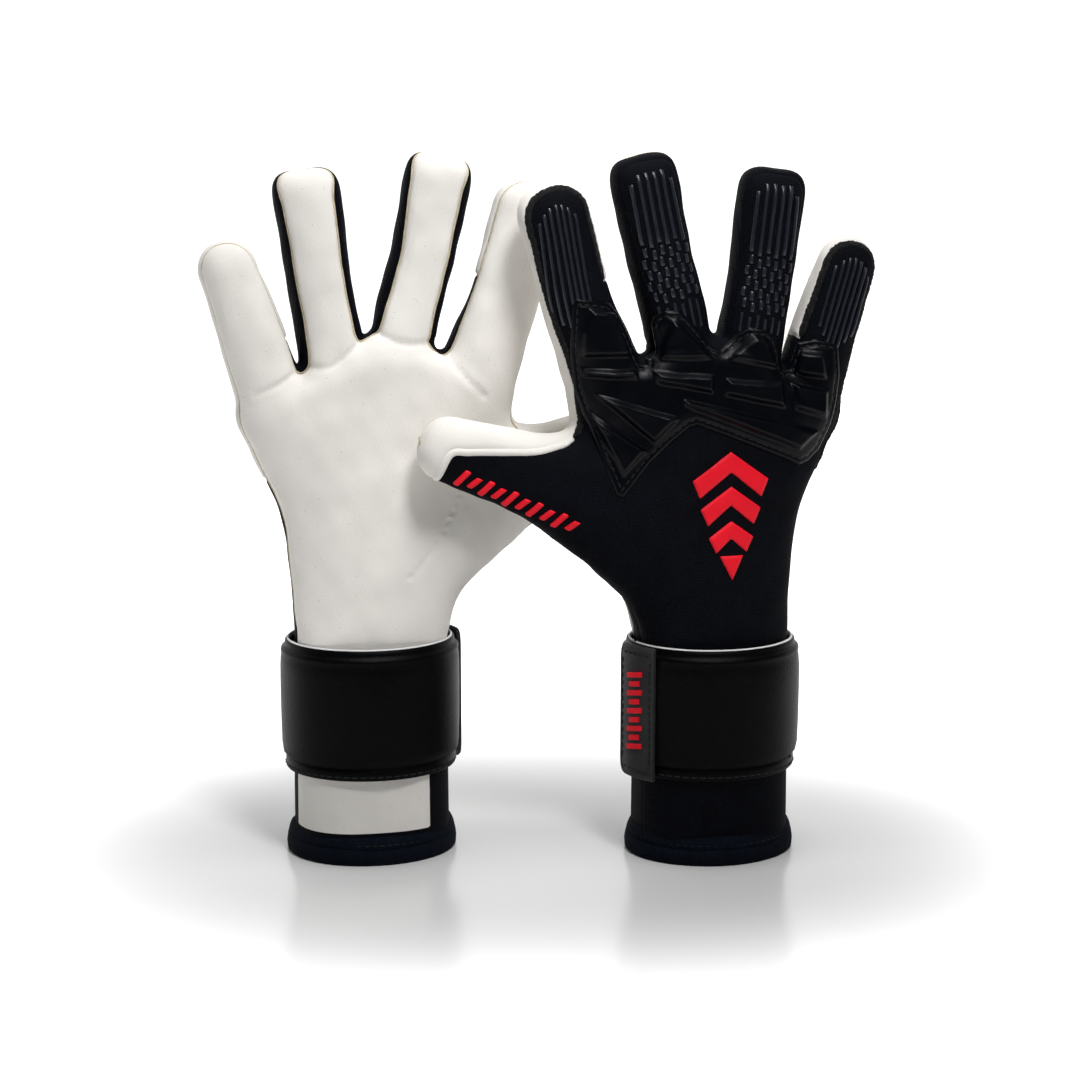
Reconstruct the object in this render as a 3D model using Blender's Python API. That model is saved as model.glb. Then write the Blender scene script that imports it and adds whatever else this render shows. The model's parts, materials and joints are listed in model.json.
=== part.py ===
"""A pair of football goalkeeper gloves, standing on their cuffs side by side.

Both gloves are for the right hand. Glove A shows its palm towards -Y and glove B is the same glove turned
half a turn about +Z, so it shows its back. Each glove is designed in its own frame, in millimetres: U runs
across the hand towards the thumb, D runs from the palm face to the back, V runs up from the cuff's rim to the
fingertips.
"""

import math

import bmesh
import bpy
from mathutils import Matrix, Vector

MM = 0.001
GAP = 0.3  # between pieces that are sewn or pressed together
HALF_GAP = GAP / 2

# Where glove A stands. Glove B stands at the opposite point, turned half a turn.
STAND_U, STAND_D = -68.7, 15.9

# Wall thicknesses
LATEX = 4.0
NEOPRENE = 3.0
STRAP, TAB = 2.4, 1.4
TAPE = 0.8  # hook tape, loop tape
PAD, MARK = 2.4, 0.8  # punching pad, printed mark
PAD_DROP = 2.0  # from the finger bases down to the pad
PAD_GAP = 0.8  # from the back of the hand to the pad and the mark

# Roundness of the sections: 2 is an ellipse, more is squarer
BODY_POWER = 2.4
FINGER_POWER = 2.6
SEAM_ANGLE = 34.0  # the finger's side gusset reaches this far to the front and to the back, in degrees
SEAM_GAP_ANGLE = 2.0
WELD = 0.02

# Fingers: middle of the base (U, V), lean towards the thumb in degrees, length from the base to the tip,
# half width at the base and at the tip, half depth at the base and at the tip.
FINGERS = {
    "pinky": dict(base=(-40.4, 198.0), lean=-16.5, length=59.0, width=(12.9, 11.6), depth=(12.0, 10.5)),
    "ring": dict(base=(-14.8, 212.5), lean=-8.5, length=70.5, width=(13.2, 13.8), depth=(12.4, 11.0)),
    "middle": dict(base=(15.6, 212.0), lean=12.0, length=78.5, width=(13.3, 14.0), depth=(12.4, 11.0)),
    "index": dict(base=(49.7, 203.8), lean=15.5, length=75.0, width=(14.4, 14.0), depth=(12.4, 11.0)),
    "thumb": dict(base=(62.0, 151.5), lean=69.0, length=62.0, width=(15.6, 12.8), depth=(13.0, 11.5)),
}
HINGE_UP, THUMB_HINGE_UP = 10.0, 16.0  # a finger bends about a line this far above its base
# The fingers that can close towards the palm bend about its face. The index finger and the thumb cross the
# other glove on the palm side, so they bend backwards, about the back.
CLOSING = ("pinky", "ring", "middle")
GUSSETS = {"pinky": "latex", "ring": "neoprene", "middle": "neoprene", "index": "latex", "thumb": "latex"}

# The hand part, wrist to knuckles: height V, pinky edge U, thumb edge U, half depth
BODY_ROWS = (
    (97.0, -31.8, 31.8, 22.5),
    (112.0, -32.6, 40.0, 21.5),
    (126.0, -34.6, 54.0, 20.5),
    (137.0, -37.4, 67.4, 19.5),
    (151.5, -42.4, 61.9, 18.2),
    (166.0, -48.0, 56.4, 17.0),
    (178.0, -52.4, 54.0, 16.0),
    (190.0, -54.4, 60.0, 15.0),
    (216.0, -54.4, 64.0, 13.4),
)
BODY_BOTTOM = 97.0
THUMB_LOW_V, THUMB_HIGH_V = 137.0, 166.0  # the thumb leaves the hand between these heights
PAD_BOTTOM = 160.0
MARK_BOTTOM, MARK_TOP = 110.0, 154.0
EDGE = 0.93  # the palm and back panels reach this share of the half width

# The cuff: half width and half depth of the sleeve's outside
SLEEVE_U, SLEEVE_D = 31.0, 26.6
SLEEVE_BOTTOM, SLEEVE_TOP = 0.6, 96.6
HEM, HEM_TOP, HEM_FLARE = 2.8, 12.0, 1.2
TAIL, TAIL_FROM, TAIL_TO = 1.2, 190.0, 308.0  # the palm latex runs on down the cuff between these angles
STRAP_BOTTOM, STRAP_TOP = 36.0, 90.0
STRAP_INSIDE = 3 * GAP + 2 * TAPE  # from the sleeve to the strap
RING_SIDES = 40
# Angles about the wrist, from the thumb side towards the back. The strap runs the long way round from the
# flap's root, and the flap closes what is left.
FLAP_ROOT, FLAP_END = 95.0, 14.0
STRAP_FROM, STRAP_TO = 96.0, 368.0
TAB_FROM, TAB_TO = 4.0, 38.0
TAPE_FROM, TAPE_TO = 24.0, 74.0
TAPE_MARGIN = 4.0


def power_unit(angle, power):
    """The point of a unit superellipse at this angle in degrees."""
    c, s = math.cos(math.radians(angle)), math.sin(math.radians(angle))
    return (
        math.copysign(abs(c) ** (2 / power), c),
        math.copysign(abs(s) ** (2 / power), s),
    )


def spread(low, high, count):
    """count numbers from low to high, evenly spaced."""
    return [low + (high - low) * i / (count - 1) for i in range(count)]


def between(rows, at):
    """The other columns of a table at a value of its first column."""
    at = min(max(at, rows[0][0]), rows[-1][0])
    for low, high in zip(rows, rows[1:]):
        if at <= high[0]:
            share = (at - low[0]) / (high[0] - low[0])
            return [a + (b - a) * share for a, b in zip(low[1:], high[1:])]
    return list(rows[-1][1:])


def material(name, colour, roughness, metallic=0.0):
    found = bpy.data.materials.new(name)
    found.use_nodes = True
    shader = found.node_tree.nodes["Principled BSDF"]
    shader.inputs["Base Color"].default_value = (*colour, 1.0)
    shader.inputs["Roughness"].default_value = roughness
    shader.inputs["Metallic"].default_value = metallic
    return found


class Glove:
    """One glove: the empty that places it, and the prefix of its objects' names."""

    def __init__(self, prefix, half_turn, collection):
        self.prefix = prefix
        self.collection = collection
        self.empty = bpy.data.objects.new(prefix + "stand", None)
        sign = -1 if half_turn else 1
        self.empty.location = (sign * STAND_U * MM, sign * STAND_D * MM, 0)
        self.empty.rotation_euler = (0, 0, math.pi if half_turn else 0)
        collection.objects.link(self.empty)

    def joint(self, name, origin):
        """An empty on a joint's axis, which carries the pieces that move with it."""
        empty = bpy.data.objects.new(self.prefix + name, None)
        empty.location = Vector(origin) * MM
        empty.parent = self.empty
        self.collection.objects.link(empty)
        return empty

    def add(self, name, mesh, surface, carrier=None):
        obj = bpy.data.objects.new(self.prefix + name, mesh)
        obj.parent = carrier or self.empty
        if carrier:
            mesh.transform(Matrix.Translation(-carrier.location))
        mesh.materials.append(surface)
        self.collection.objects.link(obj)
        return obj


def loft_solid(name, outer, inner, closed_rim=(True, True, True, True)):
    """A closed solid between two grids of points, given in millimetres.

    closed_rim says which of the grids' sides get a wall: first row, last row, first column, last column. A
    side where the grid folds back onto itself gets none, because its points weld together.
    """
    bm = bmesh.new()
    rows, columns = len(outer), len(outer[0])
    out, into = (
        [[bm.verts.new(Vector(p) * MM) for p in row] for row in grid] for grid in (outer, inner)
    )
    for r in range(rows - 1):
        for c in range(columns - 1):
            bm.faces.new((out[r][c], out[r][c + 1], out[r + 1][c + 1], out[r + 1][c]))
            bm.faces.new((into[r][c], into[r + 1][c], into[r + 1][c + 1], into[r][c + 1]))
    sides = (
        [(0, c) for c in range(columns)],
        [(rows - 1, c) for c in reversed(range(columns))],
        [(r, 0) for r in reversed(range(rows))],
        [(r, columns - 1) for r in range(rows)],
    )
    for wanted, side in zip(closed_rim, sides):
        for (ra, ca), (rb, cb) in zip(side, side[1:]):
            if wanted:
                bm.faces.new((out[rb][cb], out[ra][ca], into[ra][ca], into[rb][cb]))
    bmesh.ops.remove_doubles(bm, verts=bm.verts, dist=WELD * MM)
    bmesh.ops.recalc_face_normals(bm, faces=bm.faces)
    mesh = bpy.data.meshes.new(name)
    bm.to_mesh(mesh)
    bm.free()
    mesh.shade_smooth()
    mesh.set_sharp_from_angle(angle=math.radians(40))
    return mesh


# Fingers ------------------------------------------------------------------------------------------


def finger_grid(finger, inset, angles):
    """Points of a finger's surface, inset below it. Rows follow its outline up one side, round the tip and
    down the other. Columns go round its edge: -90 is the middle of the palm face, 0 the edge, 90 the middle of
    the back."""
    length = finger["length"]
    (wide, wide_tip), (deep, deep_tip) = finger["width"], finger["depth"]
    tip_centre = length - wide_tip
    stations = spread(HALF_GAP, tip_centre, 4)
    arc = spread(180, 0, 9)[1:-1]
    path = [(s, -1.0, 0.0) for s in stations]
    path += [(tip_centre, math.cos(math.radians(a)), math.sin(math.radians(a))) for a in arc]
    path += [(s, 1.0, 0.0) for s in reversed(stations)]
    lean = math.radians(finger["lean"])
    grid = []
    for along, side, forward in path:
        share = along / tip_centre
        half_width = wide + (wide_tip - wide) * share - inset
        half_depth = deep + (deep_tip - deep) * share - inset
        row = []
        for angle in angles:
            out, back = power_unit(angle, FINGER_POWER)
            across = half_width * side * out
            up = along + half_width * forward * out
            row.append(
                (
                    finger["base"][0] + across * math.cos(lean) + up * math.sin(lean),
                    half_depth * back,
                    finger["base"][1] - across * math.sin(lean) + up * math.cos(lean),
                )
            )
        grid.append(row)
    return grid


def finger_panel(finger, name, wall, angles, folds):
    """folds says which ends of the angles lie on the finger's middle line: first, last."""
    outer, inner = (finger_grid(finger, inset, angles) for inset in (0, wall))
    return loft_solid(name, outer, inner, (True, True, not folds[0], not folds[1]))


def add_finger(glove, name, surfaces):
    finger = FINGERS[name]
    lean = math.radians(finger["lean"])
    face = -1 if name in CLOSING else 1
    up = THUMB_HINGE_UP if name == "thumb" else HINGE_UP
    hinge = (
        finger["base"][0] + up * math.sin(lean),
        face * (finger["depth"][0] + GAP),
        finger["base"][1] + up * math.cos(lean),
    )
    carrier = glove.joint(name + "_hinge", hinge)
    edge = SEAM_ANGLE + SEAM_GAP_ANGLE / 2
    inside = SEAM_ANGLE - SEAM_GAP_ANGLE / 2
    panels = (
        ("_latex", LATEX, [-90, -72, -54, -edge], (True, False), "latex"),
        ("_gusset", NEOPRENE, [-inside, -12, 12, inside], (False, False), GUSSETS[name]),
        ("_back", NEOPRENE, [edge, 54, 72, 90], (False, True), "neoprene"),
    )
    for suffix, wall, angles, folds, surface in panels:
        mesh = finger_panel(finger, name + suffix, wall, angles, folds)
        glove.add(name + suffix, mesh, surfaces[surface], carrier)


# Hand ---------------------------------------------------------------------------------------------


def top_edge():
    """The hand's top edge: (U, V) of the ends and the middle of each finger's base, pinky edge first."""
    points = []
    for name in ("pinky", "ring", "middle", "index"):
        finger = FINGERS[name]
        lean = math.radians(finger["lean"])
        u, v = finger["base"]
        for side in (-0.98, 0.0, 1.02):
            across = finger["width"][0] * side
            points.append((u + across * math.cos(lean), v - across * math.sin(lean)))
    return points


def body_share(u, v):
    pinky, thumb, _ = between(BODY_ROWS, v)
    return (2 * u - pinky - thumb) / (thumb - pinky)


def top_columns(low, high):
    """(share, top V) of a hand panel's columns between two shares of the half width."""
    columns = [(body_share(u, v), v) for u, v in top_edge()]
    inside = [column for column in columns if low < column[0] < high]
    return [(low, *between(columns, low)), *inside, (high, *between(columns, high))]


def hand_point(share, v, face, inset):
    """A point of the hand's surface. share is -1 at the pinky edge and 1 at the thumb edge, face is -1 on the
    palm."""
    pinky, thumb, deep = between(BODY_ROWS, v)
    half = (thumb - pinky) / 2 - inset
    bulge = (1 - abs(share) ** BODY_POWER) ** (1 / BODY_POWER)
    return ((pinky + thumb) / 2 + half * share, face * (deep - inset) * bulge, v)


def hand_panel(name, face, wall, columns, bottom, lift=0.0, drop=HALF_GAP):
    """A panel on one face of the hand, from a height up to each column's top. lift raises it off the
    surface."""
    grids = []
    for inset in (-lift, wall - lift):
        grid = []
        for level in spread(0, 1, 9):
            heights = [(share, bottom + (top - drop - bottom) * level) for share, top in columns]
            grid.append([hand_point(share, v, face, inset) for share, v in heights])
        grids.append(grid)
    return loft_solid(name, *grids)


def side_panel(name, side, wall, levels):
    """A strip round the edge of the hand, between the palm panel and the back panel. side is 1 on the thumb
    side."""
    turn = math.degrees(math.acos(EDGE ** (BODY_POWER / 2))) - SEAM_GAP_ANGLE * 1.2
    grids = []
    for inset in (0, wall):
        grid = []
        for v in levels:
            pinky, thumb, deep = between(BODY_ROWS, v)
            half = (thumb - pinky) / 2 - inset
            row = []
            for angle in spread(-turn, turn, 5):
                out, back = power_unit(angle, BODY_POWER)
                row.append(((pinky + thumb) / 2 + side * half * out, (deep - inset) * back, v))
            grid.append(row)
        grids.append(grid)
    return loft_solid(name, *grids)


def add_hand(glove, surfaces):
    whole = top_columns(-EDGE, EDGE)
    sides = (
        ("pinky_side", -1, (BODY_BOTTOM, FINGERS["pinky"]["base"][1] - 5.0), "latex"),
        ("thumb_side", 1, (BODY_BOTTOM, THUMB_LOW_V - 1.5), "neoprene"),
        ("thumb_web", 1, (THUMB_HIGH_V + 2.5, FINGERS["index"]["base"][1] - 5.5), "latex"),
    )
    glove.add("palm_latex", hand_panel("palm", -1, LATEX, whole, BODY_BOTTOM), surfaces["latex"])
    glove.add("backhand", hand_panel("back", 1, NEOPRENE, whole, BODY_BOTTOM), surfaces["neoprene"])
    for name, side, heights, surface in sides:
        glove.add(name, side_panel(name, side, NEOPRENE, spread(*heights, 6)), surfaces[surface])
    pad = hand_panel("pad", 1, PAD, top_columns(-0.84, 0.84), PAD_BOTTOM, PAD + PAD_GAP, PAD_DROP)
    glove.add("punch_pad", pad, surfaces["punch"])
    mark_columns = [(share, MARK_TOP) for share, _ in top_columns(-0.42, 0.12)]
    mark = hand_panel("mark", 1, MARK, mark_columns, MARK_BOTTOM, MARK + PAD_GAP)
    glove.add("emblem", mark, surfaces["print"])


# Cuff ---------------------------------------------------------------------------------------------


def wrist_band(name, offset, wall, low, high, start, end, flare=(0.0, 0.0)):
    """A band round the wrist from one angle to another. Angle 0 is the thumb side and 90 the back. offset is
    from the sleeve's outside to the band's inside, and flare widens its bottom and its top."""
    steps = max(2, round(abs(end - start) / 360 * RING_SIDES) + 1)
    grids = []
    for out in (offset + wall, offset):
        grid = []
        for v, wider in ((low, flare[0]), (high, flare[1])):
            half_u, half_d = SLEEVE_U + out + wider, SLEEVE_D + out + wider
            turned = [math.radians(a) for a in spread(start, end, steps)]
            grid.append([(half_u * math.cos(a), half_d * math.sin(a), v) for a in turned])
        grids.append(grid)
    whole = abs(end - start) >= 360
    return loft_solid(name, *grids, (True, True, not whole, not whole))


def add_cuff(glove, surfaces):
    def band(name, surface, *sizes, carrier=None, **more):
        glove.add(name, wrist_band(name, *sizes, **more), surfaces[surface], carrier)

    strap = (STRAP_INSIDE, STRAP, STRAP_BOTTOM, STRAP_TOP)
    tape_heights = (STRAP_BOTTOM + TAPE_MARGIN, STRAP_TOP - TAPE_MARGIN)
    outside = STRAP_INSIDE + STRAP
    band("cuff_sleeve", "neoprene", -NEOPRENE, NEOPRENE, SLEEVE_BOTTOM, SLEEVE_TOP, 0, 360)
    band("cuff_hem", "binding", GAP, HEM, 0.0, HEM_TOP, 0, 360, flare=(HEM_FLARE, 0.0))
    band("palm_tail", "latex", GAP, TAIL, HEM_TOP + GAP, SLEEVE_TOP, TAIL_FROM, TAIL_TO)
    band("loop_patch", "tape", GAP, TAPE, *tape_heights, TAPE_FROM, TAPE_TO)
    band("wrist_strap", "strap", *strap, STRAP_FROM, STRAP_TO)
    root = math.radians(FLAP_ROOT)
    hinge = ((SLEEVE_U + outside) * math.cos(root), (SLEEVE_D + outside + GAP) * math.sin(root), 0)
    carrier = glove.joint("strap_hinge", hinge)
    band("strap_flap", "strap", *strap, FLAP_END, FLAP_ROOT, carrier=carrier)
    band("hook_patch", "tape", 2 * GAP + TAPE, TAPE, *tape_heights, TAPE_FROM, TAPE_TO, carrier=carrier)
    band("strap_tab", "tab", outside + GAP, TAB, STRAP_BOTTOM, STRAP_TOP, TAB_FROM, TAB_TO, carrier=carrier)


# Assembly -----------------------------------------------------------------------------------------


def build():
    for obj in list(bpy.data.objects):
        bpy.data.objects.remove(obj)
    gloves = bpy.data.collections.new("goalkeeper_gloves")
    bpy.context.scene.collection.children.link(gloves)
    surfaces = {
        "latex": material("latex", (0.80, 0.77, 0.72), 0.75),
        "neoprene": material("neoprene", (0.012, 0.013, 0.018), 0.85),
        "punch": material("punch", (0.018, 0.019, 0.024), 0.45),
        "strap": material("strap", (0.016, 0.016, 0.018), 0.5),
        "binding": material("binding", (0.008, 0.009, 0.014), 0.9),
        "tape": material("tape", (0.02, 0.02, 0.02), 0.95),
        "tab": material("tab", (0.04, 0.04, 0.04), 0.55),
        "print": material("print", (0.72, 0.012, 0.02), 0.4),
    }
    for prefix, half_turn in (("a_", False), ("b_", True)):
        glove = Glove(prefix, half_turn, gloves)
        for name in FINGERS:
            add_finger(glove, name, surfaces)
        add_hand(glove, surfaces)
        add_cuff(glove, surfaces)


build()
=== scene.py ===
"""The looks of a pair of goalkeeper gloves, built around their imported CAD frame.

Each glove's skin is one smooth implicit surface: the hand, four fingers and a thumb melt into each other. It
is meshed once, cut along its seam lines into the sewn panels, and dressed with piping, ribs, stitches, the
punching pad and the prints. Glove B is glove A turned half a turn. Lengths are in millimetres in a glove's
own frame: U runs across the hand towards the thumb, D from the palm face to the back, V up to the fingertips.
"""

import json
import math

import bpy
import numpy as np
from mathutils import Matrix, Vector
from mathutils.kdtree import KDTree


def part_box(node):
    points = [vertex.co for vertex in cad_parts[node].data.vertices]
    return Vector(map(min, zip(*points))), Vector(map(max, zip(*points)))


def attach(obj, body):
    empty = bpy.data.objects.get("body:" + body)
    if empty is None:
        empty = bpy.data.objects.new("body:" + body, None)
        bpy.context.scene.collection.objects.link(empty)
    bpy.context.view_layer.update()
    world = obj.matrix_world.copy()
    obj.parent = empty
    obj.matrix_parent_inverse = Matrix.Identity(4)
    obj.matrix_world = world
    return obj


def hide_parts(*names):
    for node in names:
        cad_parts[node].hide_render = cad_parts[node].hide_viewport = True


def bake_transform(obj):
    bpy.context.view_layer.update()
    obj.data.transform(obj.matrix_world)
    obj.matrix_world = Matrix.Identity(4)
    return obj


MM = 0.001
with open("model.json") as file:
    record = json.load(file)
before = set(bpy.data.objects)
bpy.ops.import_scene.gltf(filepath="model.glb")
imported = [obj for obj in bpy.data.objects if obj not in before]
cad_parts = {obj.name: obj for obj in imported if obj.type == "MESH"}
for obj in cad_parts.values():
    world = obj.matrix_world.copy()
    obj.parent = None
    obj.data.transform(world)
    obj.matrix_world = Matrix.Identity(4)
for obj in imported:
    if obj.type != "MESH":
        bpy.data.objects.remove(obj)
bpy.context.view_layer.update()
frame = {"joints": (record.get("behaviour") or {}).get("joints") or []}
scene = bpy.context.scene
JOINTS = {joint["name"]: joint for joint in frame["joints"]}
FINGERS = ("pinky", "ring", "middle", "index", "thumb")

sleeve_low, sleeve_high = (np.array(corner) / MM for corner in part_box("a_cuff_sleeve"))
STAND = (sleeve_low + sleeve_high) / 2 * (1, 1, 0)  # where glove A stands
SLEEVE_U, SLEEVE_D = ((sleeve_high - sleeve_low) / 2)[:2]

# The skin's field ---------------------------------------------------------------------------------

CELL = 1.15  # the skin's mesh size
ON_CUT = 0.03  # a point this near a cut lies on it
NET_LOW, NET_HIGH = (-74.1, -30.2, -4.3), (125.3, 30.2, 293.7)  # the block of space that is meshed
LATEX_WALL, CLOTH_WALL = 1.6, 1.4  # how thick the panels are
# line: the limb's middle line as (U, V, half width), up to the middle of its tip. cap: how far the tip
# reaches on. depth: half depths at base and tip. square: how square the tip's outline is.
LIMBS = {
    "pinky": dict(
        line=[(-37.5, 184, 14.0), (-43.6, 206, 13.2), (-49.3, 223, 12.4), (-55.0, 240, 11.5)],
        cap=12.4, depth=(12.6, 10.4), square=2.15,
    ),
    "ring": dict(
        line=[(-12.0, 190, 13.8), (-15.2, 217, 13.0), (-19.6, 243, 12.5), (-22.6, 267, 13.4)],
        cap=14.2, depth=(12.8, 10.8), square=3.8,
    ),
    "middle": dict(
        line=[(11.0, 192, 13.6), (16.9, 221, 12.9), (23.2, 245, 12.5), (28.8, 272, 13.5)],
        cap=15.0, depth=(12.8, 10.8), square=3.8,
    ),
    "index": dict(
        line=[(41.5, 186, 16.5), (51.5, 214, 14.7), (58.0, 231, 13.7), (66.8, 262, 13.6)],
        cap=13.6, depth=(12.8, 11.0), square=2.3,
    ),
    "thumb": dict(
        line=[(38, 138, 17.5), (58, 151.5, 16.6), (79, 159.8, 14.9), (95, 166, 14.4), (107.5, 170.4, 13.0)],
        cap=13.6, depth=(14.0, 11.0), square=2.3,
    ),
}
SECTION_POWER = 2.5  # how square the cross-sections are: 2 is an ellipse
OUTLINE_POWER = 2.6  # the same for the top of the hand, seen from the front
# The hand from the cuff's rim to the knuckles: V, pinky edge U, thumb edge U, half depth
BODY_ROWS = (
    (0, -32.0, 32.0, 27.4),
    (60, -31.6, 31.6, 27.0),
    (90, -31.4, 31.4, 24.5),
    (105, -31.9, 35.5, 22.3),
    (118, -32.5, 43.5, 21.0),
    (133, -34.2, 56.5, 19.8),
    (145, -36.8, 60.0, 18.8),
    (158, -42.0, 57.0, 17.8),
    (171, -48.3, 53.8, 16.8),
    (182, -52.5, 54.4, 16.0),
    (192, -55.2, 57.6, 15.2),
    (215, -58.5, 63.0, 13.8),
)
# The top of the hand, where it rounds off between the fingers: (U, V)
KNUCKLES = (
    (-70, 190), (-40, 194), (-27, 200.5), (-13, 208), (2, 215.5), (16, 213), (29, 208.5), (46, 202),
    (80, 190),
)
KNUCKLE_ROUND = 13.0
FINGER_MELT, THUMB_MELT = 3.5, 14.0  # radii of the webs between the hand and its limbs


def smooth_line(points, count=16):
    """A Catmull-Rom curve through rows of numbers, as count rows evenly spread over its spans."""
    rows = np.array(points, float)
    padded = np.vstack([2 * rows[0] - rows[1], rows, 2 * rows[-1] - rows[-2]])
    out = []
    for t in np.linspace(0, len(rows) - 1, count):
        i = min(int(t), len(rows) - 2)
        a, b, c, d = padded[i : i + 4]
        f = t - i
        bend = (2 * a - 5 * b + 4 * c - d) * f**2 + (3 * b - a - 3 * c + d) * f**3
        out.append(b + (c - a) * f / 2 + bend / 2)
    return np.array(out)


def smooth_table(rows, step=1.0, width=7):
    """A table's columns at even steps of its first column, rounded off at the corners."""
    rows = np.array(rows, float)
    at = np.arange(rows[0, 0] - 12, rows[-1, 0] + 12, step)
    kernel = np.hanning(2 * width + 3)[1:-1]
    kernel /= kernel.sum()
    columns = []
    for column in rows[:, 1:].T:
        plain = np.interp(at, rows[:, 0], column)
        columns.append(np.convolve(np.pad(plain, width, mode="edge"), kernel, mode="valid"))
    return at, columns


class Limb:
    """A finger or the thumb: a rounded bar along a curved middle line in the plane of the hand."""

    def __init__(self, line, cap, depth, square):
        self.line = smooth_line(line)
        self.cap, self.depth, self.square = cap, depth, square
        steps = np.diff(self.line[:, :2], axis=0)
        self.lengths = np.linalg.norm(steps, axis=1)
        self.ways = steps / self.lengths[:, None]
        self.starts = np.concatenate([[0], np.cumsum(self.lengths)])
        self.length = self.starts[-1]

    def flat(self, u, v):
        """(along, across, half width, outline share) of points in the plane of the hand. The share is 1 on
        the outline, and across is positive on the thumb side, or on the thumb's lower side."""
        best = np.full(u.shape, np.inf)
        along, across, wide = (np.zeros(u.shape) for _ in range(3))
        last = len(self.lengths) - 1
        for i, (start, way, length) in enumerate(zip(self.line, self.ways, self.lengths)):
            x, y = u - start[0], v - start[1]
            t = x * way[0] + y * way[1]
            held = np.clip(t, 0, 1e9 if i == last else length)
            side = x * way[1] - y * way[0]
            far = (t - held) ** 2 + side**2
            near = far < best - 1e-9
            best = np.where(near, far, best)
            along = np.where(near, self.starts[i] + held, along)
            across = np.where(near, np.sign(side) * np.sqrt(far), across)
            share = np.clip(held / length, 0, 1)
            width = start[2] + (self.line[i + 1][2] - start[2]) * share
            wide = np.where(near, width, wide)
        over = np.maximum(0, along - self.length) / self.cap
        outline = ((np.abs(across) / wide) ** self.square + over**self.square) ** (1 / self.square)
        return along, across, wide, outline

    def thickness(self, along):
        share = np.clip(along / self.length, 0, 1)
        return self.depth[0] + (self.depth[1] - self.depth[0]) * share

    def at(self, along, across=0.0):
        """(U, V) of a point on the limb."""
        i = min(np.searchsorted(self.starts, along, side="right") - 1, len(self.lengths) - 1)
        i = max(i, 0)
        way = self.ways[i]
        middle = self.line[i, :2] + way * (along - self.starts[i])
        return middle + np.array([way[1], -way[0]]) * across


limbs = {name: Limb(**sizes) for name, sizes in LIMBS.items()}
row_at, (row_pinky, row_thumb, row_deep) = smooth_table(BODY_ROWS)
knuckle_at, (knuckle_v,) = smooth_table(KNUCKLES, width=4)


def flat_maps(u, v):
    """What the field needs to know at points of the plane of the hand, for the body and each limb."""
    pinky, thumb, deep = (np.interp(v, row_at, column) for column in (row_pinky, row_thumb, row_deep))
    share = (2 * u - pinky - thumb) / (thumb - pinky)
    top = np.interp(u, knuckle_at, knuckle_v)
    over = np.maximum(0, v - top + KNUCKLE_ROUND) / KNUCKLE_ROUND
    outline = (np.abs(share) ** OUTLINE_POWER + over**OUTLINE_POWER) ** (1 / OUTLINE_POWER)
    maps = {"body": dict(across=share, along=v, outline=outline, deep=deep, scale=deep)}
    for name, limb in limbs.items():
        along, across, wide, outline = limb.flat(u, v)
        deep = limb.thickness(along)
        scale = np.minimum(wide, deep)
        maps[name] = dict(across=across / wide, along=along, outline=outline, deep=deep, scale=scale)
    return maps


def part_values(maps, d):
    """How far a point is outside the body and outside each limb, roughly in millimetres."""
    values = {}
    for name, m in maps.items():
        sides = m["outline"] ** SECTION_POWER + (np.abs(d) / m["deep"]) ** SECTION_POWER
        radius = sides ** (1 / SECTION_POWER)
        values[name] = (radius - 1) * m["scale"]
    return values


def melt(a, b, radius):
    """The smaller of two fields, with the crease between them filled to a radius."""
    h = np.clip(0.5 + 0.5 * (b - a) / radius, 0, 1)
    return b + (a - b) * h - radius * h * (1 - h)


def joined(values):
    """The whole glove's field, from those of its body and its limbs."""
    out = values["body"]
    for name in FINGERS:
        out = melt(out, values[name], THUMB_MELT if name == "thumb" else FINGER_MELT)
    return out


def field(points):
    maps = flat_maps(points[:, 0], points[:, 2])
    return joined(part_values(maps, points[:, 1]))


def gradient(points, step=0.3):
    out = np.empty_like(points)
    for axis in range(3):
        shift = np.zeros(3)
        shift[axis] = step
        out[:, axis] = (field(points + shift) - field(points - shift)) / (2 * step)
    return out


def unit(vectors):
    return vectors / np.maximum(np.linalg.norm(vectors, axis=-1, keepdims=True), 1e-12)


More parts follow.
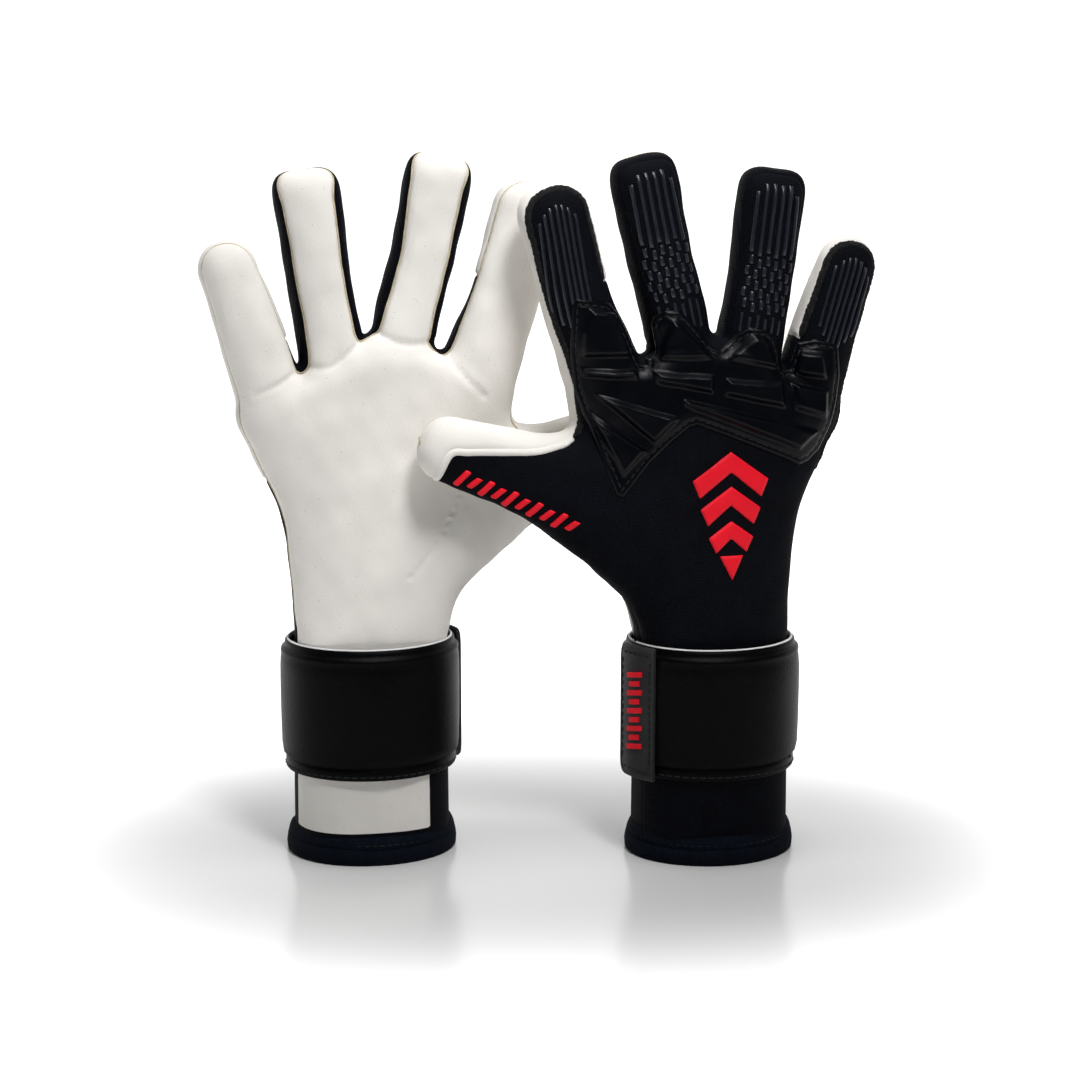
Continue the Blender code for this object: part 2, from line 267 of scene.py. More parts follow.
def surface_net(low, high, cell):
    """The field's zero surface as (points, triangles), one point for each cell that it crosses."""
    axes = [np.arange(a, b + cell, cell) for a, b in zip(low, high)]
    maps = flat_maps(*np.meshgrid(axes[0], axes[2], indexing="ij"))
    grid = np.stack([joined(part_values(maps, d)) for d in axes[1]], axis=1)
    inside = grid < 0
    cells = np.array(grid.shape) - 1
    total, count = np.zeros((*cells, 3)), np.zeros(cells)

    def corner(offset):
        return grid[tuple(slice(first, first + many) for first, many in zip(offset, cells))]

    # Each cell's point is the middle of where the surface crosses its twelve edges
    for a in np.ndindex(2, 2, 2):
        for axis in (n for n in range(3) if not a[n]):
            b = tuple(1 if n == axis else a[n] for n in range(3))
            va, vb = corner(a), corner(b)
            crossed = (va < 0) != (vb < 0)
            share = np.where(crossed, va / np.where(crossed, va - vb, 1), 0)
            for n in range(3):
                total[..., n] += np.where(crossed, a[n] + (share if n == axis else 0), 0)
            count += crossed
    used = count > 0
    number = np.full(cells, -1)
    number[used] = np.arange(used.sum())
    points = np.array(low) + (np.argwhere(used) + total[used] / count[used][:, None]) * cell
    # Each grid edge that the surface crosses gives one quad between its four cells
    quads = []
    for axis in range(3):
        others = [n for n in range(3) if n != axis]
        crossing = np.argwhere(np.diff(inside, axis=axis))
        beside = crossing[:, others]
        crossing = crossing[((beside > 0) & (beside < cells[others])).all(axis=1)]
        ring = []
        for back in ((0, 0), (1, 0), (1, 1), (0, 1)):
            at = crossing.copy()
            at[:, others] -= back
            ring.append(number[tuple(at.T)])
        quad = np.stack(ring, axis=1)
        flip = inside[tuple(crossing.T)] == (axis == 1)
        quad[flip] = quad[flip][:, ::-1]
        quads.append(quad)
    quads = np.vstack(quads)
    return points, np.vstack([quads[:, [0, 1, 2]], quads[:, [0, 2, 3]]])


def settle(points, rounds=3):
    """Moves points onto the field's zero surface."""
    for _ in range(rounds):
        slope = gradient(points)
        points = points - slope * (field(points) / np.maximum((slope**2).sum(axis=1), 1e-9))[:, None]
    return points


def back_depth(flat):
    """D of the skin on the back, over points of the hand's plane."""
    maps = flat_maps(flat[:, 0], flat[:, 1])
    inner, outer = np.zeros(len(flat)), np.full(len(flat), 40.0)
    for _ in range(22):
        middle = (inner + outer) / 2
        out = joined(part_values(maps, middle)) > 0
        inner, outer = np.where(out, inner, middle), np.where(out, middle, outer)
    return inner


def at_depth(flat, depth):
    """Points of the hand's plane moved to a depth."""
    return np.stack([flat[:, 0], depth, flat[:, 1]], axis=1)


# Panels -------------------------------------------------------------------------------------------

LIMB_REACH, BODY_REACH = 13.0, 17.0  # how many millimetres of skin a radian spans at the side seams
LIMB_PALM_SEAM, BODY_PALM_SEAM = math.radians(-38), math.radians(-12)
THUMB_SIDE_PALM_SEAM = math.radians(-49)  # the two middle fingers' latex is narrower on the thumb side
TIP_PALM_SEAM, ROLLED_PALM_SEAM = math.radians(-12), math.radians(-20)
TAIL_SEAM = math.radians(-53)  # the palm latex's thumb edge, where it runs down the cuff
GUSSET_BACK_SEAM = math.radians(34)
ROLL_BACK_SEAM = math.radians(33)
BODY_BACK_SEAM, BODY_ROLL_SEAM = math.radians(10), math.radians(17)
THUMB_LOW_SEAM, THUMB_TOP_SEAMS = math.radians(-28), (math.radians(142), math.radians(98))
PINKY_ROLL_FROM, THUMB_ROLL_FROM = 157.0, 168.0  # V where the hand's side strips turn from neoprene to latex
PINKY_INNER_ROLL, INDEX_INNER_ROLL = 26.0, 51.0  # the same along the fingers' inner sides
TAIL_LOW, SKIN_LOW = 13.0, 0.6
THUMB_END, THUMB_CORNER = 4.5, 2.5  # the thumb's black back: its reach past the middle line, its rounding
SEAM_MELT = 2.2  # over how many millimetres one limb's seams pass into another's
ROLL_MOST = 6.0  # the roll's distance is held within this


def body_seams(m, turn):
    """How far points of the hand are on the palm's, the back's and the rolled latex's side of their seams."""
    across, v = m["across"], m["along"]
    narrow = np.clip((100 - v) / 60, 0, 1) * (across > 0)
    palm_seam = BODY_PALM_SEAM + (TAIL_SEAM - BODY_PALM_SEAM) * narrow
    rolled = np.clip((v - PINKY_ROLL_FROM) / 10, 0, 1) * (across < 0)
    back_seam = BODY_BACK_SEAM + (BODY_ROLL_SEAM - BODY_BACK_SEAM) * rolled
    roll = np.where(across < 0, v - PINKY_ROLL_FROM, v - THUMB_ROLL_FROM)
    roll = np.where((np.abs(across) < 0.8) & (v > 180), -ROLL_MOST, roll)
    return (palm_seam - turn) * BODY_REACH, (turn - back_seam) * BODY_REACH, roll


def thumb_seams(m, turn, d):
    """The same for the thumb, whose back is black up to a seam along its upper side."""
    full = np.arctan2(d / m["deep"], m["across"])
    palm = np.where(m["across"] > 0, THUMB_LOW_SEAM - full, LIMB_PALM_SEAM - turn) * LIMB_REACH
    end = limbs["thumb"].length + THUMB_END - m["along"]
    top_seam = np.interp(m["along"], (40, 75), THUMB_TOP_SEAMS)
    sides = [(full - THUMB_LOW_SEAM) * LIMB_REACH, (top_seam - full) * LIMB_REACH, end]
    low, top, end = (-side / THUMB_CORNER for side in sides)
    back = -THUMB_CORNER * np.logaddexp(np.logaddexp(low, top), end)
    return palm, np.where(full < -2.6, -8.0, back), np.full(len(d), ROLL_MOST)


def finger_seams(name, m, turn):
    """The same for a finger. The latex rolls round the pinky and the index finger, not round the others."""
    across, along = m["across"], m["along"]
    if name in ("pinky", "index"):
        inner, inner_from = (1, PINKY_INNER_ROLL) if name == "pinky" else (-1, INDEX_INNER_ROLL)
        palm_seam = tip_seam = ROLLED_PALM_SEAM
        back_seam = GUSSET_BACK_SEAM + (ROLL_BACK_SEAM - GUSSET_BACK_SEAM) * np.clip(along / 60, 0, 1)
        roll = np.where(across * inner > 0, along - inner_from, ROLL_MOST)
    else:
        thumb_side = np.clip(across * 1.6, 0, 1) * np.clip((along - 4) / 14, 0, 1)
        palm_seam = LIMB_PALM_SEAM + (THUMB_SIDE_PALM_SEAM - LIMB_PALM_SEAM) * thumb_side
        tip_seam, back_seam = TIP_PALM_SEAM, GUSSET_BACK_SEAM
        roll = np.full(len(turn), -ROLL_MOST)
    over = np.clip((along - limbs[name].length) / limbs[name].cap, 0, 1) ** 2
    palm_seam = palm_seam + (tip_seam - palm_seam) * over
    return (palm_seam - turn) * LIMB_REACH, (turn - back_seam) * LIMB_REACH, roll


def zones(points):
    """For each point: palm (above 0 on the palm latex), back (above 0 on the back panel), roll (above 0 where
    the side strip is latex), all roughly in millimetres, and owner, the nearest limb's number in FINGERS."""
    maps = flat_maps(points[:, 0], points[:, 2])
    d = points[:, 1]
    values = part_values(maps, d)
    weights = {name: np.exp(-np.clip(value, -20, 60) / SEAM_MELT) for name, value in values.items()}
    total = sum(weights.values())
    melted = np.zeros((3, len(points)))
    for name, m in maps.items():
        turn = np.arctan2(d / m["deep"], np.maximum(m["outline"], 1e-6))
        if name == "body":
            palm, back, roll = body_seams(m, turn)
        elif name == "thumb":
            palm, back, roll = thumb_seams(m, turn, d)
        else:
            palm, back, roll = finger_seams(name, m, turn)
        melted += weights[name] / total * np.array([palm, back, np.clip(roll, -ROLL_MOST, ROLL_MOST)])
    owner = np.argmin([values[name] for name in FINGERS], axis=0)
    return *melted, owner


def compact(points, triangles):
    """A mesh without the points that no triangle uses."""
    used, index = np.unique(triangles, return_inverse=True)
    return points[used], index.reshape(triangles.shape)


def clip(points, triangles, s):
    """The part of a mesh where s >= 0, and the cut's segments as pairs of its point numbers."""
    s = np.where(np.abs(s) < ON_CUT, 0.0, s)
    inside = s >= 0
    kept = inside[triangles]
    whole = triangles[kept.all(axis=1)]
    mixed = triangles[kept.any(axis=1) & ~kept.all(axis=1)]
    if not len(mixed):
        return (*compact(points, whole), np.zeros((0, 2), int), np.zeros((0, 3)))
    held = inside[mixed]
    lone_in = held.sum(axis=1) == 1
    lone = np.where(lone_in, held.argmax(axis=1), (~held).argmax(axis=1))
    rows = np.arange(len(mixed))
    a, b, c = (mixed[rows, (lone + n) % 3] for n in range(3))
    edges = np.sort(np.concatenate([np.stack([a, b], 1), np.stack([a, c], 1)]), axis=1)
    edges, number = np.unique(edges, axis=0, return_inverse=True)
    number = number.reshape(-1) + len(points)
    low, high = edges.T
    share = (s[low] / np.where(s[low] == s[high], 1, s[low] - s[high]))[:, None]
    added = points[low] + (points[high] - points[low]) * share
    ab, ac = number[: len(mixed)], number[len(mixed) :]
    out = [whole, np.stack([a, ab, ac], 1)[lone_in]]
    out += [np.stack([ab, b, c], 1)[~lone_in], np.stack([ab, c, ac], 1)[~lone_in]]
    triangles = np.vstack(out)
    everything = np.vstack([points, added])
    p, q, r = (everything[triangles[:, n]] for n in range(3))
    area = np.linalg.norm(np.cross(q - p, r - p), axis=1)
    segments = np.stack([ab, ac], 1)
    return (*compact(everything, triangles[area > 1e-7]), segments, everything)


def chains(segments, points, least=6.0):
    """Polylines through a cut's segments, each a row of points, leaving out those shorter than least."""
    keys, number = np.unique(np.round(points[segments.reshape(-1)], 3), axis=0, return_inverse=True)
    pairs = number.reshape(-1, 2)
    ways = {}
    for a, b in pairs[pairs[:, 0] != pairs[:, 1]].tolist():
        ways.setdefault(a, set()).add(b)
        ways.setdefault(b, set()).add(a)
    found = []
    starts = [a for a in ways if len(ways[a]) == 1] + list(ways)
    for start in starts:
        line = [start]
        while ways.get(line[-1]):
            step = min(ways[line[-1]])
            ways[line[-1]].discard(step)
            ways[step].discard(line[-1])
            line.append(step)
        if len(line) > 3:
            found.append(keys[line])
    return [line for line in found if np.linalg.norm(np.diff(line, axis=0), axis=1).sum() > least]


def evenly(line, step, rounds=3):
    """A polyline smoothed a little and resampled at even steps."""
    closed = np.linalg.norm(line[0] - line[-1]) < 1e-6
    for _ in range(rounds):
        middle = (line[:-2] + 2 * line[1:-1] + line[2:]) / 4
        line = np.vstack([line[:1], middle, line[-1:]])
    lengths = np.concatenate([[0], np.cumsum(np.linalg.norm(np.diff(line, axis=0), axis=1))])
    count = max(3, round(lengths[-1] / step) + 1)
    at = np.linspace(0, lengths[-1], count)
    out = np.stack([np.interp(at, lengths, line[:, n]) for n in range(3)], axis=1)
    return out, closed


def point_normals(points, triangles):
    """Each point's normal, from the areas of the triangles round it."""
    p, q, r = (points[triangles[:, n]] for n in range(3))
    faces = np.cross(q - p, r - p)
    out = np.zeros_like(points)
    for n in range(3):
        np.add.at(out, triangles[:, n], faces)
    return unit(out)


def waves(points, size, seed, count=7):
    """Smooth bumps between about -1 and 1, of a given size in millimetres."""
    random = np.random.default_rng(seed)
    out = np.zeros(len(points))
    for _ in range(count):
        way = random.normal(size=3)
        way *= 2 * math.pi / size / np.linalg.norm(way) * random.uniform(0.7, 1.4)
        out += np.sin(points @ way + random.uniform(0, 2 * math.pi))
    return out / math.sqrt(count)


FOAM_LIFT, SEAM_DEPTH, CREASE_HALF_WIDTH = 0.55, 0.6, 1.25
# Creases in the palm latex where the fingers fold: (U, V) along each one
CREASES = (
    ((-24, 203), (-17, 203), (-9, 208), (-3, 213)),
    ((5, 215), (12, 212), (20, 211.5), (27, 212)),
    ((29, 209), (34, 203), (40, 196), (46, 190)),
    ((-46, 193), (-38, 196), (-31, 200)),
    ((14, 118), (24, 130), (33, 146), (38, 160)),
)


def crease_depth(points):
    """How deep the palm latex is folded in at points of the skin."""
    depth = np.zeros(len(points))
    for crease in CREASES:
        line = smooth_line(crease, 14)
        far = np.min(np.linalg.norm(points[:, None, [0, 2]] - line[None], axis=2), axis=1)
        depth = np.maximum(depth, np.exp(-((far / CREASE_HALF_WIDTH) ** 2)))
    return depth * (points[:, 1] < 0)


def seam_groove(far):
    """1 on a seam, and nothing a little away from it."""
    return np.exp(-((far / 0.9) ** 2))


def drape(points):
    """How far the cloth and the foam stand off the plain skin."""
    palm, back, roll, _ = zones(points)
    side = np.minimum(-palm, -back)
    groove = seam_groove(palm) + seam_groove(back) + seam_groove(roll) * np.clip(side, 0, 1)
    foam = np.clip(palm / 2.5, 0, 1) + np.clip(side / 2.5, 0, 1) * np.clip(roll, 0, 1)
    out = FOAM_LIFT * foam - SEAM_DEPTH * np.minimum(groove, 1)
    out += 0.5 * waves(points, 34, 3) + 0.17 * waves(points, 13, 5)
    cuff = np.clip((96 - points[:, 2]) / 20, 0, 1)
    return out * (1 - cuff) - crease_depth(points)


# Meshes into pieces -------------------------------------------------------------------------------

CUT_BEFORE_HINGE = 7.0  # finger pieces start this far below the finger's hinge
GLOVES = (("a_", False), ("b_", True))  # each glove's prefix, and whether it is turned half a turn


def local(point):
    return np.array(point) / MM - STAND


def hinge_frame(name):
    """A finger's hinge point and the direction along the finger, in glove A's own millimetres."""
    joint = JOINTS[f"a_{name}_bend"]
    axis = joint["axis"]
    return local(joint["pos_m"]), np.array([-axis[2], 0.0, axis[0]])


HINGES = {name: hinge_frame(name) for name in FINGERS}


def placed(points, half_turn):
    """Points of a glove in metres, where glove A or glove B stands."""
    flat = points * (-1, -1, 1) if half_turn else points
    stand = STAND * (-1 if half_turn else 1)
    return (flat + stand) * MM


def make_object(name, points, triangles, normals, material, slot):
    mesh = bpy.data.meshes.new(name)
    mesh.from_pydata(points.tolist(), [], triangles.tolist())
    mesh.validate()
    mesh.shade_smooth()
    if normals is not None and len(mesh.vertices) == len(normals):
        mesh.normals_split_custom_set_from_vertices(normals.tolist())
    mesh.materials.append(material)
    piece = bpy.data.objects.new(name, mesh)
    scene.collection.objects.link(piece)
    return piece


def walled(top, bottom, triangles):
    """A closed solid between two sheets of points that share their triangles."""
    count = len(top)
    edges = np.concatenate([triangles[:, [0, 1]], triangles[:, [1, 2]], triangles[:, [2, 0]]])
    _, first, uses = np.unique(np.sort(edges, axis=1), axis=0, return_index=True, return_counts=True)
    a, b = edges[first[uses == 1]].T
    rims = np.vstack([np.stack([b, a, a + count], 1), np.stack([b, a + count, b + count], 1)])
    return np.vstack([top, bottom]), np.vstack([triangles, triangles[:, ::-1] + count, rims])


def by_body(points, triangles):
    """Splits a mesh at the fingers' cut planes: (finger or None, points, triangles) for each share."""
    left = (points, triangles)
    for number, name in enumerate(FINGERS):
        hinge, along = HINGES[name]
        owner = zones(left[0])[3]
        s = np.where(owner == number, (left[0] - hinge) @ along + CUT_BEFORE_HINGE, -50.0)
        if not (s > ON_CUT).any():
            continue
        finger, left = clip(*left, s)[:2], clip(*left, -s)[:2]
        if len(finger[1]):
            yield name, *finger
        if not len(left[1]):
            return
    yield None, *left


def sample_normals(points, normals, at):
    """The normals of the nearest known points."""
    tree = KDTree(len(points))
    for i, point in enumerate(points):
        tree.insert(point, i)
    tree.balance()
    return normals[[tree.find(point)[1] for point in at]]


def declare(name, prefix, nodes):
    """Hides the CAD nodes that a piece stands for."""
    if nodes:
        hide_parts(*(prefix + node for node in nodes))


def bend_between(piece, prefix, body, low, high, half_turn):
    """Bakes a piece's placement into its mesh. It does not bend the piece or attach it to a body."""
    start, end = (tuple(placed(point[None], half_turn)[0]) for point in (low, high))
    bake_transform(piece)
    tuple(start)
    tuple(end)


def add_skin(name, points, triangles, material, slot, wall=0.0, replaced=None):
    """Makes a skin piece for both gloves, split at the fingers. wall makes a sheet solid. replaced maps a
    finger, or None for the hand, to the CAD nodes that the piece stands for."""
    normals = point_normals(points, triangles)
    for finger, share, faces in by_body(points, triangles):
        own = sample_normals(points, normals, share)
        if wall:
            share, faces = walled(share, share - own * wall, faces)
            own = np.vstack([own, -own])
        for prefix, half_turn in GLOVES:
            full_name = f"{prefix}{finger or 'hand'}_{name}"
            turned = own * ((-1, -1, 1) if half_turn else (1, 1, 1))
            piece = make_object(full_name, placed(share, half_turn), faces, turned, material, slot)
            if finger:
                hinge, along = HINGES[finger]
                reach = along * CUT_BEFORE_HINGE
                bend_between(piece, prefix, finger, hinge - reach, hinge + reach, half_turn)
            else:
                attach(piece, prefix + "hand")
            declare(name, prefix, (replaced or {}).get(finger))


# Materials ----------------------------------------------------------------------------------------


def feed(tree, node, inputs):
    """Sets a shader node's inputs, each to a value or to the output that feeds it."""
    for name, value in inputs.items():
        if isinstance(value, bpy.types.NodeSocket):
            tree.links.new(value, node.inputs[name])
        else:
            node.inputs[name].default_value = value


def add_node(tree, kind, inputs, operation=None):
    node = tree.nodes.new("ShaderNode" + kind)
    if operation:
        node.operation = operation
    feed(tree, node, inputs)
    return node


def surface(name, colour, rough, mottle, specular, **more):
    """A procedural material. Pairs of numbers: mottle (share of colour change, size in mm), specks (mm apart,
    how dark), and as bumps grain and cells (height, size) and knit (height, pitch)."""
    made = bpy.data.materials.new(name)
    made.use_nodes = True
    tree = made.node_tree
    shader = tree.nodes["Principled BSDF"]
    place = add_node(tree, "TexCoord", {}).outputs["Object"]

    def noise(size, detail):
        inputs = {"Vector": place, "Scale": 1000 / size, "Detail": detail}
        return add_node(tree, "TexNoise", inputs).outputs["Fac"]

    def cells(size):
        return add_node(tree, "TexVoronoi", {"Vector": place, "Scale": 1000 / size}).outputs["Distance"]

    def wave(pitch, axis):
        scale = 1000 / (pitch * 20) * math.pi * 2
        node = add_node(tree, "TexWave", {"Vector": place, "Scale": scale, "Distortion": 1.2})
        node.bands_direction = axis
        return node.outputs["Fac"]

    change, size = mottle
    ramp = add_node(tree, "ValToRGB", {"Fac": noise(size, 3.0)})
    for element, position, way in zip(ramp.color_ramp.elements, (0.3, 0.7), (-1, 1)):
        element.position = position
        element.color = (*(min(1, c * (1 + way * change)) for c in colour), 1)
    tint = ramp.outputs["Color"]
    if "specks" in more:
        apart, dark = more["specks"]
        limits = {"From Min": 0.03, "From Max": 0.09, "To Min": 1 - dark, "To Max": 1.0}
        spread = add_node(tree, "MapRange", {"Value": cells(apart), **limits})
        scaled = add_node(tree, "VectorMath", {0: tint, "Scale": spread.outputs["Result"]}, "SCALE")
        tint = scaled.outputs["Vector"]
    heights = []
    if "grain" in more:
        depth, size = more["grain"]
        heights.append((noise(size, 4.0), depth))
    if "cells" in more:
        depth, size = more["cells"]
        heights.append((cells(size), depth))
    if "knit" in more:
        depth, pitch = more["knit"]
        crossed = {n: wave(pitch, axis) for n, axis in enumerate("XZ")}
        heights.append((add_node(tree, "Math", crossed, "MULTIPLY").outputs[0], depth))
    normal = {}
    for height, depth in heights:
        bump = add_node(tree, "Bump", {"Height": height, "Distance": depth * MM, **normal})
        normal = {"Normal": bump.outputs["Normal"]}
    sheen = {"Sheen Weight": more.get("sheen", 0.0), "Sheen Roughness": 0.4}
    feed(tree, shader, {"Base Color": tint, "Roughness": rough, "Specular IOR Level": specular})
    feed(tree, shader, {**sheen, **normal})
    return made


LATEX = surface(
    "white_latex", (0.73, 0.705, 0.665), 0.8, (0.05, 22), 0.15, grain=(0.14, 0.5), specks=(3.6, 0.35),
)
LATEX_EDGE = surface("latex_cut_edge", (0.50, 0.43, 0.30), 0.9, (0.2, 3), 0.1, grain=(0.15, 0.6))
NEOPRENE = surface("black_knit", (0.0012, 0.0016, 0.0036), 0.75, (0.3, 9), 0.07, knit=(0.16, 0.9))
RIB = surface("raised_rib", (0.0085, 0.0105, 0.0175), 0.34, (0.2, 4), 0.45, grain=(0.05, 0.5))
PUNCH = surface("moulded_silicone", (0.0010, 0.0013, 0.0026), 0.32, (0.25, 8), 0.12, grain=(0.05, 0.45))
STRAP = surface("strap_face", (0.0009, 0.0009, 0.0013), 0.42, (0.3, 6), 0.06, cells=(0.10, 0.7))
BINDING = surface("woven_binding", (0.0022, 0.0040, 0.0085), 0.9, (0.3, 3), 0.08, knit=(0.2, 1.1))
FUZZ = surface("fuzzy_binding", (0.012, 0.012, 0.013), 1.0, (0.6, 1.1), 0.1, grain=(0.5, 0.8), sheen=0.05)
TAPE = surface("hook_and_loop", (0.005, 0.005, 0.006), 1.0, (0.4, 1.5), 0.1, cells=(0.5, 1.2))
TAB = surface("rubber_tab", (0.022, 0.022, 0.023), 0.5, (0.15, 7), 0.2, grain=(0.06, 0.5))
PRINT = surface("red_print", (0.80, 0.006, 0.02), 0.5, (0.05, 9), 0.2, grain=(0.05, 0.6))
THREAD = surface("dark_thread", (0.012, 0.0125, 0.014), 0.7, (0.3, 0.8), 0.2, grain=(0.05, 0.3))
FOAM = surface("white_foam_edge", (0.75, 0.75, 0.75), 0.8, (0.06, 4), 0.2, grain=(0.1, 0.5))

# Skin panels --------------------------------------------------------------------------------------

points, triangles = surface_net(NET_LOW, NET_HIGH, CELL)
points = settle(points)
points, triangles = clip(points, triangles, points[:, 2] - SKIN_LOW)[:2]
palm = np.minimum(zones(points)[0], (points[:, 2] - TAIL_LOW) * 0.999 + 0.0005)
front, front_faces, *cut = clip(points, triangles, palm)
palm_lines = chains(*cut)
rest = clip(points, triangles, -palm)[:2]
back = zones(rest[0])[1]
behind, behind_faces, *cut = clip(*rest, back)
back_lines = chains(*cut)
strip = clip(*rest, -back)[:2]
roll = zones(strip[0])[2]
rolled, gusset = clip(*strip, roll)[:2], clip(*strip, -roll)[:2]


def draped(points, triangles):
    """A share of the skin pushed out to where the cloth lies."""
    return points + unit(gradient(points)) * drape(points)[:, None], triangles


def nodes_of(kind, names, hand_nodes):
    """The CAD nodes that a panel replaces: one on each of these fingers, and those on the hand."""
    return {**{name: (f"{name}_{kind}",) for name in names}, None: hand_nodes}


add_skin("latex", *draped(front, front_faces), LATEX, "latex", wall=LATEX_WALL,
         replaced=nodes_of("latex", FINGERS, ("palm_latex", "palm_tail")))
add_skin("back", *draped(behind, behind_faces), NEOPRENE, "neoprene", wall=CLOTH_WALL,
         replaced=nodes_of("back", FINGERS, ("backhand", "cuff_sleeve")))
add_skin("roll", *draped(*rolled), LATEX, "latex", wall=LATEX_WALL,
         replaced=nodes_of("gusset", ("pinky", "index", "thumb"), ("pinky_side", "thumb_web")))
add_skin("gusset", *draped(*gusset), NEOPRENE, "neoprene", wall=CLOTH_WALL,
         replaced=nodes_of("gusset", ("ring", "middle"), ("thumb_side",)))

# Piping, ribs and stitches on the skin ------------------------------------------------------------


def tube(rings, whole, from_middle=False):
    """A closed solid through rings of points. Its ends are fans, from the first point or from the middle."""
    count, sides = len(rings), len(rings[0])
    last = (count - 1) * sides
    triangles = []
    for i in range(count if whole else count - 1):
        near, far = i * sides, (i + 1) % count * sides
        for j in range(sides):
            k = (j + 1) % sides
            triangles += [(near + j, near + k, far + k), (near + j, far + k, far + j)]
    if from_middle and not whole:
        middle = count * sides
        rings = rings + [rings[0].mean(axis=0)[None], rings[-1].mean(axis=0)[None]]
        for j in range(sides):
            k = (j + 1) % sides
            triangles += [(middle, k, j), (middle + 1, last + j, last + k)]
    elif not whole:
        for j in range(1, sides - 1):
            triangles += [(0, j + 1, j), (last, last + j, last + j + 1)]
    points, triangles = np.vstack(rings), np.array(triangles)
    p, q, r = (points[triangles[:, n]] - points.mean(axis=0) for n in range(3))
    if np.einsum("ij,ij->i", np.cross(p, q), r).sum() < 0:
        triangles = triangles[:, ::-1]
    return points, triangles


def swept(line, normals, profile, closed=False):
    """A solid swept along a line. profile lists (across, off the skin) pairs, or is a function of the row."""
    ahead = np.roll(line, -1, axis=0) - np.roll(line, 1, axis=0) if closed else np.gradient(line, axis=0)
    ahead = unit(ahead)
    aside = unit(np.cross(ahead, normals))
    out = unit(np.cross(aside, ahead))
    rings = []
    for i in range(len(line)):
        shape = np.array(profile(i, len(line)) if callable(profile) else profile)
        rings.append(line[i] + shape[:, :1] * aside[i] + shape[:, 1:] * out[i])
    return tube(rings, closed)


def round_profile(across, off, sides=8, lift=0.0):
    """An oval section, across by off, lifted off the skin."""
    turns = [2 * math.pi * k / sides for k in range(sides)]
    return [(across * math.cos(t), lift + off * math.sin(t)) for t in turns]


def merged(shapes):
    """Several (points, triangles) as one."""
    starts = np.cumsum([0] + [len(points) for points, _ in shapes])
    triangles = [faces + start for (_, faces), start in zip(shapes, starts)]
    return np.vstack([points for points, _ in shapes]), np.vstack(triangles)


def off_skin(points):
    """Points of the plain skin moved out onto the cloth, and the directions off it."""
    normals = unit(gradient(points))
    return points + normals * drape(points)[:, None], normals


def laid(line, step):
    """A seam line smoothed, spaced evenly and laid on the cloth, with the directions off the cloth."""
    line, closed = evenly(line, step)
    if closed:
        line = line[:-1]
    return *off_skin(line), closed


def runs(line, keep, least=4):
    """The stretches of a line where keep is true."""
    out, start = [], None
    for i, good in enumerate(list(keep) + [False]):
        if good and start is None:
            start = i
        elif not good and start is not None:
            if i - start >= least:
                out.append(slice(start, i))
            start = None
    return out


def add_piping(name, lines, profile, material, slot, chosen, step=1.1):
    """Sweeps a profile along the stretches of seam lines that chosen picks by their points."""
    shapes = []
    for seam in lines:
        line, normals, closed = laid(seam, step)
        keep = chosen(line)
        if keep.all() and closed:
            shapes.append(swept(line, normals, profile, True))
            continue
        if closed and keep.any() and not keep.all():
            turn = int(np.argmin(keep))
            line, normals, keep = (np.roll(array, -turn, axis=0) for array in (line, normals, keep))
        shapes += [swept(line[part], normals[part], profile) for part in runs(line, keep)]
    add_skin(name, *merged(shapes), material, slot)


def rolled_edge(line):
    """True on the back seams that part white rolled latex from the black back, the thumb's left out."""
    _, _, roll, owner = zones(line)
    high_up = (line[:, 2] > PINKY_ROLL_FROM) & (line[:, 1] > 0)
    return (roll > 0.5) & (owner != FINGERS.index("thumb")) & high_up


def thumb_edge(line):
    """True on the back seam along the thumb's upper side."""
    _, _, roll, owner = zones(line)
    upper = flat_maps(line[:, 0], line[:, 2])["thumb"]["across"] < 0.9
    return (roll > 0.5) & (owner == FINGERS.index("thumb")) & (line[:, 0] > 55) & upper & (line[:, 1] > 2)


def above_cuff(line):
    return line[:, 2] > 96


random = np.random.default_rng(11)


def fuzzy_profile(i, count):
    jitter = random.uniform(0.86, 1.14, 10)
    fade = min(1.0, 0.35 + min(i, count - 1 - i) / 5)
    shape = round_profile(1.75 * fade, 0.95 * fade, 10, 0.25)
    return [(a * j, b * j) for (a, b), j in zip(shape, jitter)]


add_piping("fuzzy_edge", back_lines, fuzzy_profile, FUZZ, "binding", rolled_edge, 0.8)
add_piping("thumb_bead", back_lines, round_profile(1.5, 1.2, 10, 0.35), LATEX, "latex", thumb_edge)
add_piping("cut_edge", palm_lines, round_profile(0.42, 0.34, 6, 0.3), LATEX_EDGE, "latex", above_cuff)


RIB_SECTION = ((-1, -0.4), (1, -0.4), (0.75, 0.6), (0.3, 1), (-0.3, 1), (-0.75, 0.6))


def rib(limb, low, high, across, width=1.0, height=0.8, slant=0.0):
    """A raised rib along a limb's back, which thins out at its ends."""
    flat = np.array([limb.at(along, across + slant * (along - low)) for along in np.arange(low, high, 1.2)])

    def shape(i, count):
        fade = min(1.0, 0.3 + 0.35 * min(i, count - 1 - i))
        return [(width * x, height * fade * y) for x, y in RIB_SECTION]

    return swept(*off_skin(at_depth(flat, back_depth(flat))), shape)


